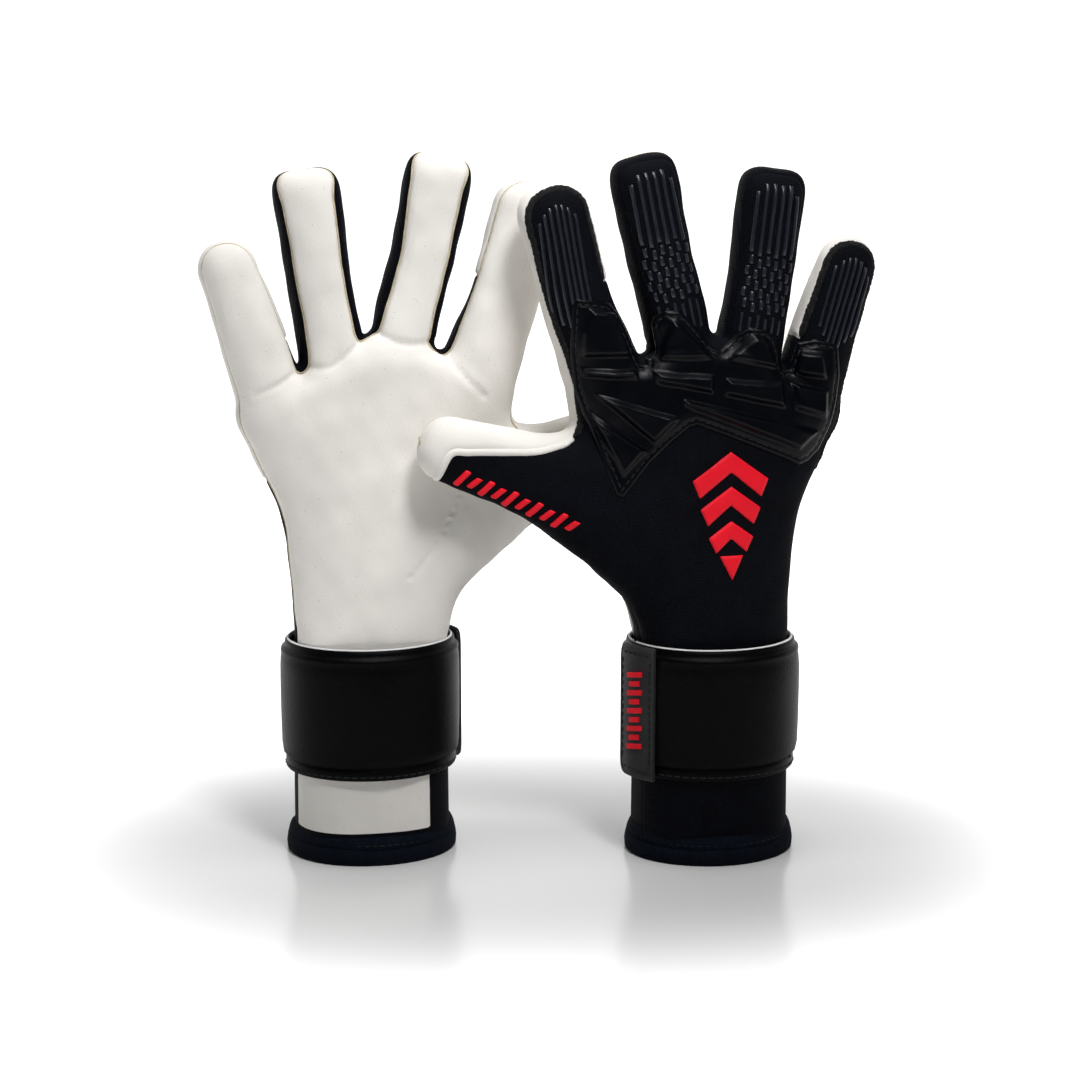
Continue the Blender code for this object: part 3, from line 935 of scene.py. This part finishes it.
def finger_ribs(name):
    """Long ribs over the fingertip. The middle fingers have staggered dashes and short ribs below them."""
    limb = limbs[name]
    tip = limb.length + limb.cap * 0.62
    shapes = []
    if name in ("ring", "middle"):
        upper, lower = tip - 30, tip - 56
        for k in range(6):
            across, odd = (k - 2.5) * 3.3, k % 2
            end = tip - 0.10 * across**2 * (0.55 if abs(across) > 6 else 0.3)
            shapes.append(rib(limb, upper + 1.5 * odd, end, across))
            shapes.append(rib(limb, 26, lower + 2 + 1.2 * odd, across * 0.95, 0.7, 0.42))
            for dash in range(6):
                start = lower + 3.5 + dash * 4.4 + odd * 1.4
                aside = 0.5 if dash % 2 else -0.5
                if start + 2.4 < upper:
                    shapes.append(rib(limb, start, start + 3.6, across + aside, 0.95, 0.8))
    else:
        low, slant = (tip - 54, -0.10) if name == "index" else (tip - 42, 0.03)
        for k in range(7):
            across = (k - 3) * 2.45
            start, end = low + 3.0 * abs(k - 3), tip - 1.5 - 0.10 * across**2
            shapes.append(rib(limb, start, end, across - slant * (end - low), 0.8, 0.7, slant))
    return merged(shapes)


for name in ("pinky", "ring", "middle", "index"):
    add_skin(f"{name}_ribs", *finger_ribs(name), RIB, "neoprene")

# Moulded pad and prints ---------------------------------------------------------------------------


def on_back(flat, bed=None):
    """Points over the back of the hand, and the directions off it."""
    if bed is None:
        return off_skin(at_depth(flat, back_depth(flat)))
    step = 0.4
    slopes = [(bed(flat + way) - bed(flat - way)) / (2 * step) for way in ((step, 0), (0, step))]
    normals = unit(np.stack([-slopes[0], np.ones(len(flat)), -slopes[1]], axis=1))
    return at_depth(flat, bed(flat)), normals


def inside_distance(flat, outline):
    """How far each point is inside a polygon, in millimetres, and negative outside it."""
    corners = np.array(outline, float)
    ends = np.roll(corners, -1, axis=0)
    far = np.full(len(flat), np.inf)
    crossed = np.zeros(len(flat), bool)
    for a, b in zip(corners, ends):
        way = b - a
        t = np.clip(((flat - a) @ way) / (way @ way), 0, 1)
        far = np.minimum(far, np.linalg.norm(flat - a - t[:, None] * way, axis=1))
        straddles = (a[1] > flat[:, 1]) != (b[1] > flat[:, 1])
        reach = a[0] + (flat[:, 1] - a[1]) * way[0] / (way[1] if way[1] else 1e-9)
        crossed ^= straddles & (flat[:, 0] < reach)
    return np.where(crossed, far, -far)


def grid_of(box, cell):
    """Even steps across a box, and the points where they meet."""
    us, vs = np.arange(box[0], box[2], cell), np.arange(box[1], box[3], cell)
    u, v = np.meshgrid(us, vs, indexing="ij")
    return us, vs, np.stack([u.ravel(), v.ravel()], axis=1)


def relief(inside, box, height, cell, bed=None):
    """A raised solid on the back of the hand. inside says how far in a point is, height how thick it is
    there. bed gives the depth that it lies at, where that isn't the skin's."""
    us, vs, flat = grid_of(box, cell)
    number = np.arange(len(flat)).reshape(len(us), len(vs))
    corners = number[:-1, :-1], number[1:, :-1], number[1:, 1:], number[:-1, 1:]
    a, b, c, d = (corner.ravel() for corner in corners)
    faces = np.vstack([np.stack([a, c, b], 1), np.stack([a, d, c], 1)])
    sheet, faces = clip(at_depth(flat, np.zeros(len(flat))), faces, inside(flat))[:2]
    flat = sheet[:, [0, 2]]
    base, normals = on_back(flat, bed)
    return walled(base + normals * height(flat)[:, None], base - normals * 0.3, faces)


# The punching pad's outline and its raised facets, as (U, V)
PAD = (
    (62.5, 229), (60.5, 231.5), (53, 230.5), (46.5, 229), (43, 225), (39.5, 218.5), (36, 210), (34, 205),
    (32, 204.5), (31, 211), (29.5, 219), (28, 223.5), (24, 226), (18.5, 225.5), (14.5, 223), (8.5, 216),
    (4, 210.5), (1.5, 209.5), (-1.5, 211.5), (-6.5, 216), (-11, 218.5), (-18, 217.5), (-22, 214), (-24, 207),
    (-25, 200.5), (-27, 200.5), (-30, 206.5), (-32, 211.5), (-39.5, 213), (-47, 211.5), (-49, 209),
    (-50, 198), (-49, 188.5), (-46, 177.5), (-42, 168), (-37, 163.5), (-32.5, 162), (-26, 165), (-1.5, 175),
    (11.5, 180), (15, 179), (22.5, 173), (31, 165), (42.5, 152), (45, 153), (47.5, 160), (54.5, 180),
    (57, 185), (60.5, 195), (62.5, 211),
)
RAISED = (
    ((55, 226.5), (45, 225), (39.5, 208), (57.5, 209), (57.5, 218)),
    ((21, 221.5), (19, 221), (5.5, 206), (25.5, 206), (24, 213.5)),
    ((-13, 215), (-16.5, 213.5), (-22, 201.5), (-1.5, 205.5)),
    ((-33, 207.5), (-42, 207), (-43, 197.5), (-30.5, 199)),
    ((57.5, 203.5), (36.5, 202), (36, 198.5), (56.5, 201)),
    ((28.5, 201), (5, 199.5), (5.5, 193), (28, 197.5)),
    ((-0.5, 198), (-23.5, 195.5), (-24.5, 186.5), (0, 192)),
    ((-28.5, 194.5), (-43.5, 192), (-43, 181.5), (-30, 185.5)),
    ((51.5, 193), (20, 183), (29, 173.5)),
    ((54, 186), (32.5, 170), (42.5, 160)),
    ((17, 190), (-39.5, 176), (-31.5, 169), (16.5, 188)),
)
PAD_STITCH_IN = 2.3  # the stitches run this far inside the pad's edge
PAD_RIM, STITCH_DIP, PAD_CROWN, FACET_HEIGHT = 1.3, 0.5, 0.5, 2.2


def pad_inside(flat):
    """How far in from the pad's edge: its outline, and where the hand turns away at its sides."""
    return np.minimum(inside_distance(flat, PAD), (back_depth(flat) - 5.5) * 0.9)


def pad_height(flat):
    """The pad's thickness: a rounded rim, a dip along the stitches, a crowned middle and its facets."""
    edge = pad_inside(flat)
    out = PAD_RIM * (1 - np.exp(-np.clip(edge, 0, 9) / 0.7)) + 0.1
    out -= STITCH_DIP * np.exp(-(((edge - PAD_STITCH_IN) / 0.55) ** 2))
    out += PAD_CROWN * np.clip((edge - PAD_STITCH_IN) / 4, 0, 1)
    for shape in RAISED:
        t = np.clip((inside_distance(flat, shape) + 0.7) / 1.9, 0, 1)
        out += FACET_HEIGHT * t**1.5 * (1 - 0.3 * t) / 0.7 * np.clip(edge / 2, 0, 1)
    return out


def smooth_bed(box, cell=1.5, passes=16):
    """The depth that a stiff sheet lies at over the back of the hand, bridging the dips between knuckles."""
    us, vs, flat = grid_of(box, cell)
    own = back_depth(flat)
    own = (own + drape(at_depth(flat, own))).reshape(len(us), len(vs))
    weight = (own > 5).astype(float)
    total = own * weight
    for _ in range(passes):
        for axis in (0, 1):
            total, weight = (
                (np.roll(grid, 1, axis) + 2 * grid + np.roll(grid, -1, axis)) / 4 for grid in (total, weight)
            )
    smooth = np.maximum(total / np.maximum(weight, 1e-6), own)

    def bed(flat):
        x = np.clip((flat[:, 0] - us[0]) / cell, 0, len(us) - 1.001)
        y = np.clip((flat[:, 1] - vs[0]) / cell, 0, len(vs) - 1.001)
        i, j = x.astype(int), y.astype(int)
        x, y = x - i, y - j
        low = smooth[i, j] * (1 - x) + smooth[i + 1, j] * x
        high = smooth[i, j + 1] * (1 - x) + smooth[i + 1, j + 1] * x
        return low * (1 - y) + high * y

    return bed


def polygon_box(outline, margin=2.0):
    corners = np.array(outline)
    return (*(corners.min(axis=0) - margin), *(corners.max(axis=0) + margin))


pad_bed = smooth_bed(polygon_box(PAD, 12))
pad = relief(pad_inside, polygon_box(PAD), pad_height, 0.62, pad_bed)
add_skin("punch_pad", *pad, PUNCH, "punch", replaced={None: ("punch_pad",)})


def stitches(line, normals, length=2.3, gap=1.0, radius=0.27):
    """Threads along a line: short rounded dashes that dip into the cloth at their ends."""
    steps = np.concatenate([[0], np.cumsum(np.linalg.norm(np.diff(line, axis=0), axis=1))])
    shapes, start = [], 0.0
    while start + length < steps[-1]:
        at = np.linspace(start, start + length, 5)
        dash = np.stack([np.interp(at, steps, line[:, n]) for n in range(3)], axis=1)
        off = np.stack([np.interp(at, steps, normals[:, n]) for n in range(3)], axis=1)
        dash += off * (np.array([-0.25, 0.1, 0.18, 0.1, -0.25]) * 1.1)[:, None]
        shapes.append(swept(dash, off, round_profile(radius, radius, 6)))
        start += length + gap
    return shapes


def pad_stitch_line():
    """The line of the pad's stitches, found by moving its outline inwards."""
    outline = np.array(PAD + PAD[:1], float)
    line, _ = evenly(at_depth(outline, np.zeros(len(outline))), 0.8, 0)
    flat = line[:, [0, 2]]
    ways = ((0.25, 0), (0, 0.25))
    for _ in range(12):
        slope = np.stack([pad_inside(flat + way) - pad_inside(flat - way) for way in ways], axis=1)
        flat = flat + unit(slope) * (PAD_STITCH_IN - pad_inside(flat))[:, None] * 0.6
    line, normals = on_back(flat, pad_bed)
    return line + normals * (pad_height(flat) + 0.1)[:, None], normals


pad_line, pad_line_normals = pad_stitch_line()
sewn = runs(pad_line, np.abs(pad_inside(pad_line[:, [0, 2]]) - PAD_STITCH_IN) < 0.9)
pad_stitches = [stitches(pad_line[part], pad_line_normals[part]) for part in sewn]
add_skin("pad_stitching", *merged([shape for row in pad_stitches for shape in row]), THREAD, "punch")


def add_print(name, shapes, replaced=None):
    """Raised rubbery shapes on the back of the hand, from their outlines."""
    solids = []
    for shape in shapes:

        def inside(flat):
            return inside_distance(flat, shape)

        def height(flat):
            return 0.75 * (1 - np.exp(-np.clip(inside(flat), 0, 5) / 0.25)) + 0.1

        solids.append(relief(inside, polygon_box(shape), height, 0.7))
    add_skin(name, *merged(solids), PRINT, "print", replaced=replaced)


def chevron(middle, half, arm, thick, lean=3.0):
    """A V-shaped bar pointing up, as an outline."""
    u, v = middle
    return (
        (u, v), (u + half, v - arm), (u + half - lean, v - arm - thick), (u, v - thick * 1.15),
        (u - half + lean, v - arm - thick), (u - half, v - arm),
    )


add_print(
    "emblem",
    [chevron((-2.5, 169 - 14 * k), 16 - 3.2 * k, 11.5 - 2.4 * k, 7.2 - 0.5 * k) for k in range(3)]
    + [((2.6, 127), (-7.6, 127), (-2.5, 117))],
    replaced={None: ("emblem",)},
)


def slanted_bars(start, end, count, height, width, slant):
    """A row of slanted bars between two points, as outlines: a plain pattern."""
    start, end = np.array(start, float), np.array(end, float)
    along = (end - start) / np.linalg.norm(end - start)
    up = np.array([-along[1], along[0]])
    if up[1] < 0:
        up = -up
    out = []
    for k in range(count):
        middle = start + (end - start) * k / (count - 1)
        reach = up * height * (1.0 if k % 2 == 0 else 0.72) / 2 + along * slant / 2
        low, high, half = middle - reach, middle + reach, along * width / 2
        out.append((low - half, low + half, high + half, high - half))
    return out


add_print("thumb_bars", slanted_bars((106, 161), (62.5, 140.5), 10, 7, 2.7, 2.2))

# Cuff: strap, tab, hem and tapes ------------------------------------------------------------------

HINGE_OF_FLAP = local(JOINTS["a_flap_open"]["pos_m"])
FLAP_BLEND = 6.0  # a length each side of the flap's hinge, handed to bend_between
STRAP_LOW, STRAP_HIGH = (corner[2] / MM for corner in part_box("a_wrist_strap"))


def cuff_point(turn, off, v):
    """A point off the sleeve's surface. turn is in degrees from the thumb side towards the back."""
    t = math.radians(turn)
    wide, deep = SLEEVE_U + 0.6, SLEEVE_D + 0.6
    point = np.array([wide * math.cos(t), deep * math.sin(t), v])
    out = np.array([math.cos(t) / wide, math.sin(t) / deep, 0])
    return point + out / np.linalg.norm(out) * off


def around(turns, shape):
    """A closed solid swept round the wrist. shape gives the section's (off, V) pairs at a turn."""
    rings = [np.array([cuff_point(turn, off, v) for off, v in shape(turn)]) for turn in turns]
    whole = abs(turns[-1] - turns[0]) > 359.9
    return tube(rings[:-1] if whole else rings, whole, from_middle=True)


def add_cuff_piece(name, shape, material, slot, body="hand", bend=False, replaced=(), sharp=50):
    """Makes a piece of the cuff for both gloves. bend leaves it unattached to any body; it is not bent at the
    flap's hinge.
    """
    points, triangles = shape
    for prefix, half_turn in GLOVES:
        piece = make_object(prefix + name, placed(points, half_turn), triangles, None, material, slot)
        piece.data.set_sharp_from_angle(angle=math.radians(sharp))
        if bend:
            reach = np.array([FLAP_BLEND, 0, 0])
            bend_between(piece, prefix, "flap", HINGE_OF_FLAP - reach, HINGE_OF_FLAP + reach, half_turn)
        else:
            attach(piece, prefix + body)
        declare(name, prefix, replaced)


STRAP_INNER = 2.3  # how far the strap's inside is off the sleeve


def strap_section(turn):
    """The padded strap's section: stitched lower edge, crowned face, and a bead under its top edge."""
    low, high = STRAP_LOW, STRAP_HIGH
    sway = 0.25 * math.sin(math.radians(3 * turn + 40)) + 0.15 * math.sin(math.radians(7 * turn))
    face = [
        (0.2, low), (1.0, low - 0.1), (1.45, low + 0.5), (1.5, low + 3.8), (0.95, low + 4.7),
        (1.2, low + 5.3), (2.5, low + 6.6), (2.95 + sway, low + 10), (3.2 + sway, low + 20),
        (3.3 + sway, low + 33), (3.25 + sway, low + 42), (3.05, low + 46.2), (2.75, low + 48.0),
        (2.85, low + 48.6), (3.0, low + 49.4), (2.75, low + 50.3), (2.0, low + 51.0), (1.45, low + 51.5),
        (1.3, low + 52.4), (1.1, high - 0.5), (0.5, high),
    ]
    inner = [(0.0, high - 0.6), (-0.15, high - 10), (-0.15, low + 10)]
    return [(STRAP_INNER + off, v) for off, v in face + inner]


def every_three(low, high):
    return np.linspace(low, high, int(abs(high - low) / 3) + 2)


def foam_section(turn):
    rim = ((-0.5, -1.2), (0.25, -1.2), (0.4, 0.1), (0.1, 0.5), (-0.4, 0.4))
    return [(STRAP_INNER + off, STRAP_HIGH + up) for off, up in rim]


def cuff_normals(line):
    return unit(line * (1, 1, 0) / (SLEEVE_U**2, SLEEVE_D**2, 1))


def cuff_stitches(turns, off, v, **sizes):
    line = np.array([cuff_point(turn, off, v) for turn in turns])
    return stitches(line, cuff_normals(line), **sizes)


def strap_thread(low, high):
    turns = every_three(low, high)
    return merged(cuff_stitches(turns, STRAP_INNER + 1.5, STRAP_LOW + 1.6, length=2.6, gap=0.9))


STRAP_SPLIT, STRAP_TAIL, FLAP_TIP = 150.0, 368.0, 9.0
fixed, loose = every_three(STRAP_SPLIT, STRAP_TAIL), every_three(FLAP_TIP, STRAP_SPLIT)
add_cuff_piece("wrist_strap", around(fixed, strap_section), STRAP, "strap", replaced=("wrist_strap",))
add_cuff_piece("strap_flap", around(loose, strap_section), STRAP, "strap", bend=True,
               replaced=("strap_flap",))
fixed, loose = every_three(STRAP_SPLIT, STRAP_TAIL - 2), every_three(FLAP_TIP + 2, STRAP_SPLIT)
add_cuff_piece("strap_foam_edge", around(fixed, foam_section), FOAM, "latex")
add_cuff_piece("flap_foam_edge", around(loose, foam_section), FOAM, "latex", bend=True)
add_cuff_piece("strap_stitching", strap_thread(STRAP_SPLIT, STRAP_TAIL), THREAD, "strap")
add_cuff_piece("flap_stitching", strap_thread(FLAP_TIP + 30, STRAP_SPLIT), THREAD, "strap", bend=True)

# The rubber tab on the flap's end
TAB_FROM, TAB_TO = 3.5, 38.0
TAB_OFF = STRAP_INNER + 3.3


def tab_section(turn):
    """The tab's section: a flat plate with rounded corners at its free end and a raised border."""
    into = min(1.0, (turn - TAB_FROM) / 6.0)
    corner = 5.0 * (1 - math.sqrt(max(0.0, 1 - (1 - into) ** 2)))
    low, high = STRAP_LOW - 1.2 + corner, STRAP_HIGH + 0.2 - corner
    thick = 1.8 if turn < TAB_FROM + 1.5 or turn > TAB_TO - 2.2 else 1.45
    face = [
        (1.2, low), (1.75, low + 0.6), (1.8, low + 1.8), (thick, low + 2.3), (thick, (low + high) / 2),
        (thick, high - 2.3), (1.8, high - 1.8), (1.75, high - 0.6), (1.2, high), (0.1, high), (0.1, low),
    ]
    return [(TAB_OFF + off, v) for off, v in face]


round_turns, plate_turns = np.linspace(0, 6, 9), np.linspace(7, TAB_TO - TAB_FROM - 2.3, 14)
tab_turns = [*(TAB_FROM + round_turns), *(TAB_FROM + plate_turns), TAB_TO - 2.1, TAB_TO]
tab = around(tab_turns, tab_section)
add_cuff_piece("strap_tab", tab, TAB, "tab", body="flap", replaced=("strap_tab",), sharp=35)
tab_threads = []
for v in (STRAP_LOW + 2.6, STRAP_HIGH - 3.6):
    tab_threads += cuff_stitches(np.linspace(TAB_FROM + 5, TAB_TO - 1, 20), TAB_OFF + 1.5, v)
for turn in (TAB_FROM + 2.6, TAB_TO - 3.4):
    heights = np.linspace(STRAP_LOW + 6, STRAP_HIGH - 6, 40)
    line = np.array([cuff_point(turn, TAB_OFF + 1.5, v) for v in heights])
    tab_threads += stitches(line, cuff_normals(line))
add_cuff_piece("tab_stitching", merged(tab_threads), THREAD, "tab", body="flap")

TAB_BARS, BAR_TURN = 9, 21


def tab_bar(k):
    """One slanted bar of the tab's pattern."""
    middle = STRAP_HIGH - 12 - k * (STRAP_HIGH - STRAP_LOW - 24) / (TAB_BARS - 1)
    half = (4.4 if k % 2 == 0 else 3.0) * 1.7

    def section(turn):
        v = middle + 0.12 * (turn - BAR_TURN)
        return [(TAB_OFF + off, v + up) for off, up in ((1.3, -1.15), (1.3, 1.15), (1.85, 1.0), (1.85, -1.0))]

    return around(np.linspace(BAR_TURN - half, BAR_TURN + half, 7), section)


add_cuff_piece("tab_bars", merged([tab_bar(k) for k in range(TAB_BARS)]), PRINT, "print", body="flap")

# Hem and tapes
_, hem_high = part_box("a_cuff_hem")
HEM_HIGH = hem_high[2] / MM
HEM_SECTION = (
    (0.2, 0.0), (2.9, 0.0), (3.6, 1.0), (3.8, 4.5), (3.4, 7.6), (2.8, 8.2), (3.1, 8.9), (2.7, 11.0),
    (2.0, 13.0), (0.8, 14.2), (0.0, 14.4),
)


def hem_section(turn):
    sway = 0.3 * math.sin(math.radians(2 * turn + 70)) + 0.2 * math.sin(math.radians(5 * turn))
    scale = HEM_HIGH / 14.4
    face = [(off + sway * (v > 0.5) * 0.6, v * scale + sway * (v > 6)) for off, v in HEM_SECTION]
    return face + [(-0.4, 6.0)]


all_round = np.linspace(0, 360, 121)
add_cuff_piece("cuff_hem", around(all_round, hem_section), BINDING, "binding", replaced=("cuff_hem",))
hem_stitch = cuff_stitches(all_round, 2.5, 0.69 * HEM_HIGH, length=2.2, gap=0.9, radius=0.22)
add_cuff_piece("hem_stitching", merged(hem_stitch), THREAD, "binding")

for name, body, inner, outer in (("loop_patch", "hand", 0.2, 1.1), ("hook_patch", "flap", 1.25, 2.1)):
    low, high = (corner[2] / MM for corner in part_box("a_" + name))
    section = [(inner, low), (outer, low), (outer, high), (inner, high)]
    tape = around(np.linspace(20, 78, 24), lambda turn: section)
    add_cuff_piece(name, tape, TAPE, "tape", body=body, replaced=(name,))

# Camera, light, floor -----------------------------------------------------------------------------

VIEW_TURN, VIEW_RISE = math.radians(13), math.radians(10.5)
VIEW_DISTANCE, VIEW_TARGET, LENS = 1.0, Vector((0, 0, 0.130)), 81.1


def add_aimed(data, place, aim):
    """Puts a camera or a light in the scene, looking at a point."""
    made = bpy.data.objects.new(data.name, data)
    made.location = place
    made.rotation_euler = (Vector(aim) - Vector(place)).to_track_quat("-Z", "Y").to_euler()
    scene.collection.objects.link(made)
    return made


def area_light(name, place, size, watts):
    light = bpy.data.lights.new(name, "AREA")
    light.shape, light.size, light.energy = "DISK", size, watts
    add_aimed(light, place, (0, 0, 0.14))


near = math.cos(VIEW_RISE)
towards = Vector((-math.sin(VIEW_TURN) * near, -math.cos(VIEW_TURN) * near, math.sin(VIEW_RISE)))
camera = add_aimed(bpy.data.cameras.new("camera"), VIEW_TARGET + towards * VIEW_DISTANCE, VIEW_TARGET)
camera.data.lens = LENS
scene.camera = camera
area_light("key", (0.06, -0.50, 0.86), 0.22, 2.2)
area_light("fill", (1.1, -0.9, 0.75), 1.0, 0.5)
area_light("top", (0.0, -0.12, 0.95), 0.4, 4.0)
# The main light falls off towards the wrists
spot_light = bpy.data.lights.new("spot", "SPOT")
spot_light.energy, spot_light.shadow_soft_size = 17, 0.12
spot_light.spot_size, spot_light.spot_blend = math.radians(27), 1.0
add_aimed(spot_light, (0.08, -0.50, 0.86), (-0.02, 0, 0.235))

world = bpy.data.worlds.new("studio")
world.use_nodes = True
background = world.node_tree.nodes["Background"]
feed(world.node_tree, background, {"Color": (0.97, 0.98, 1.0, 1), "Strength": 0.06})
scene.world = world
scene.view_settings.view_transform = "Standard"

# A pale floor that sweeps up into a backdrop well behind the gloves. It glows white but for a soft pool of
# shade round the cuffs.
SWEEP_FROM, SWEEP_RADIUS, STAGE_HALF, STAGE_FRONT, STAGE_TOP = 1.2, 0.9, 7.0, -8.0, 4.0
SHADE_NEAR, SHADE_FAR = 0.04, 0.25
GLOW_FRONT = (-0.44, -0.27)  # it stops glowing in front, where the camera looks over it
profile = [(STAGE_FRONT, 0.0), (SWEEP_FROM, 0.0)]
for step in range(1, 17):
    turn = math.pi / 2 * step / 16
    profile.append((SWEEP_FROM + SWEEP_RADIUS * math.sin(turn), SWEEP_RADIUS * (1 - math.cos(turn))))
profile.append((SWEEP_FROM + SWEEP_RADIUS, STAGE_TOP))
corners = [(x, y, z) for y, z in profile for x in (-STAGE_HALF, STAGE_HALF)]
floor_mesh = bpy.data.meshes.new("floor")
strips = [(i, i + 1, i + 3, i + 2) for i in range(0, len(corners) - 2, 2)]
floor_mesh.from_pydata(corners, [], strips)
floor_mesh.shade_smooth()
floor = bpy.data.objects.new("floor", floor_mesh)
pale_floor = surface("pale_floor", (0.65, 0.65, 0.65), 0.2, (0.005, 400), 0.5)
tree = pale_floor.node_tree
spot = add_node(tree, "TexCoord", {}).outputs["Object"]


def fading(value, near, far, smooth):
    """0 where a value is at near, 1 where it is at far."""
    node = add_node(tree, "MapRange", {"Value": value, "From Min": near, "From Max": far})
    node.interpolation_type = smooth
    return node.outputs["Result"]


def times(a, b):
    return add_node(tree, "Math", {0: a, 1: b}, "MULTIPLY").outputs[0]


clear = []
for way in (-1, 1):
    cuff_place = (way * STAND[0] * MM, way * STAND[1] * MM, 0)
    away = add_node(tree, "VectorMath", {0: spot, 1: cuff_place}, "DISTANCE").outputs["Value"]
    clear.append(fading(away, SHADE_NEAR, SHADE_FAR, "SMOOTHERSTEP"))
depth_way = add_node(tree, "SeparateXYZ", {0: spot}).outputs["Y"]
glow = times(times(*clear), fading(depth_way, *GLOW_FRONT, "SMOOTHSTEP"))
feed(tree, tree.nodes["Principled BSDF"], {"Emission Color": (1, 1, 1, 1), "Emission Strength": glow})
floor_mesh.materials.append(pale_floor)
scene.collection.objects.link(floor)
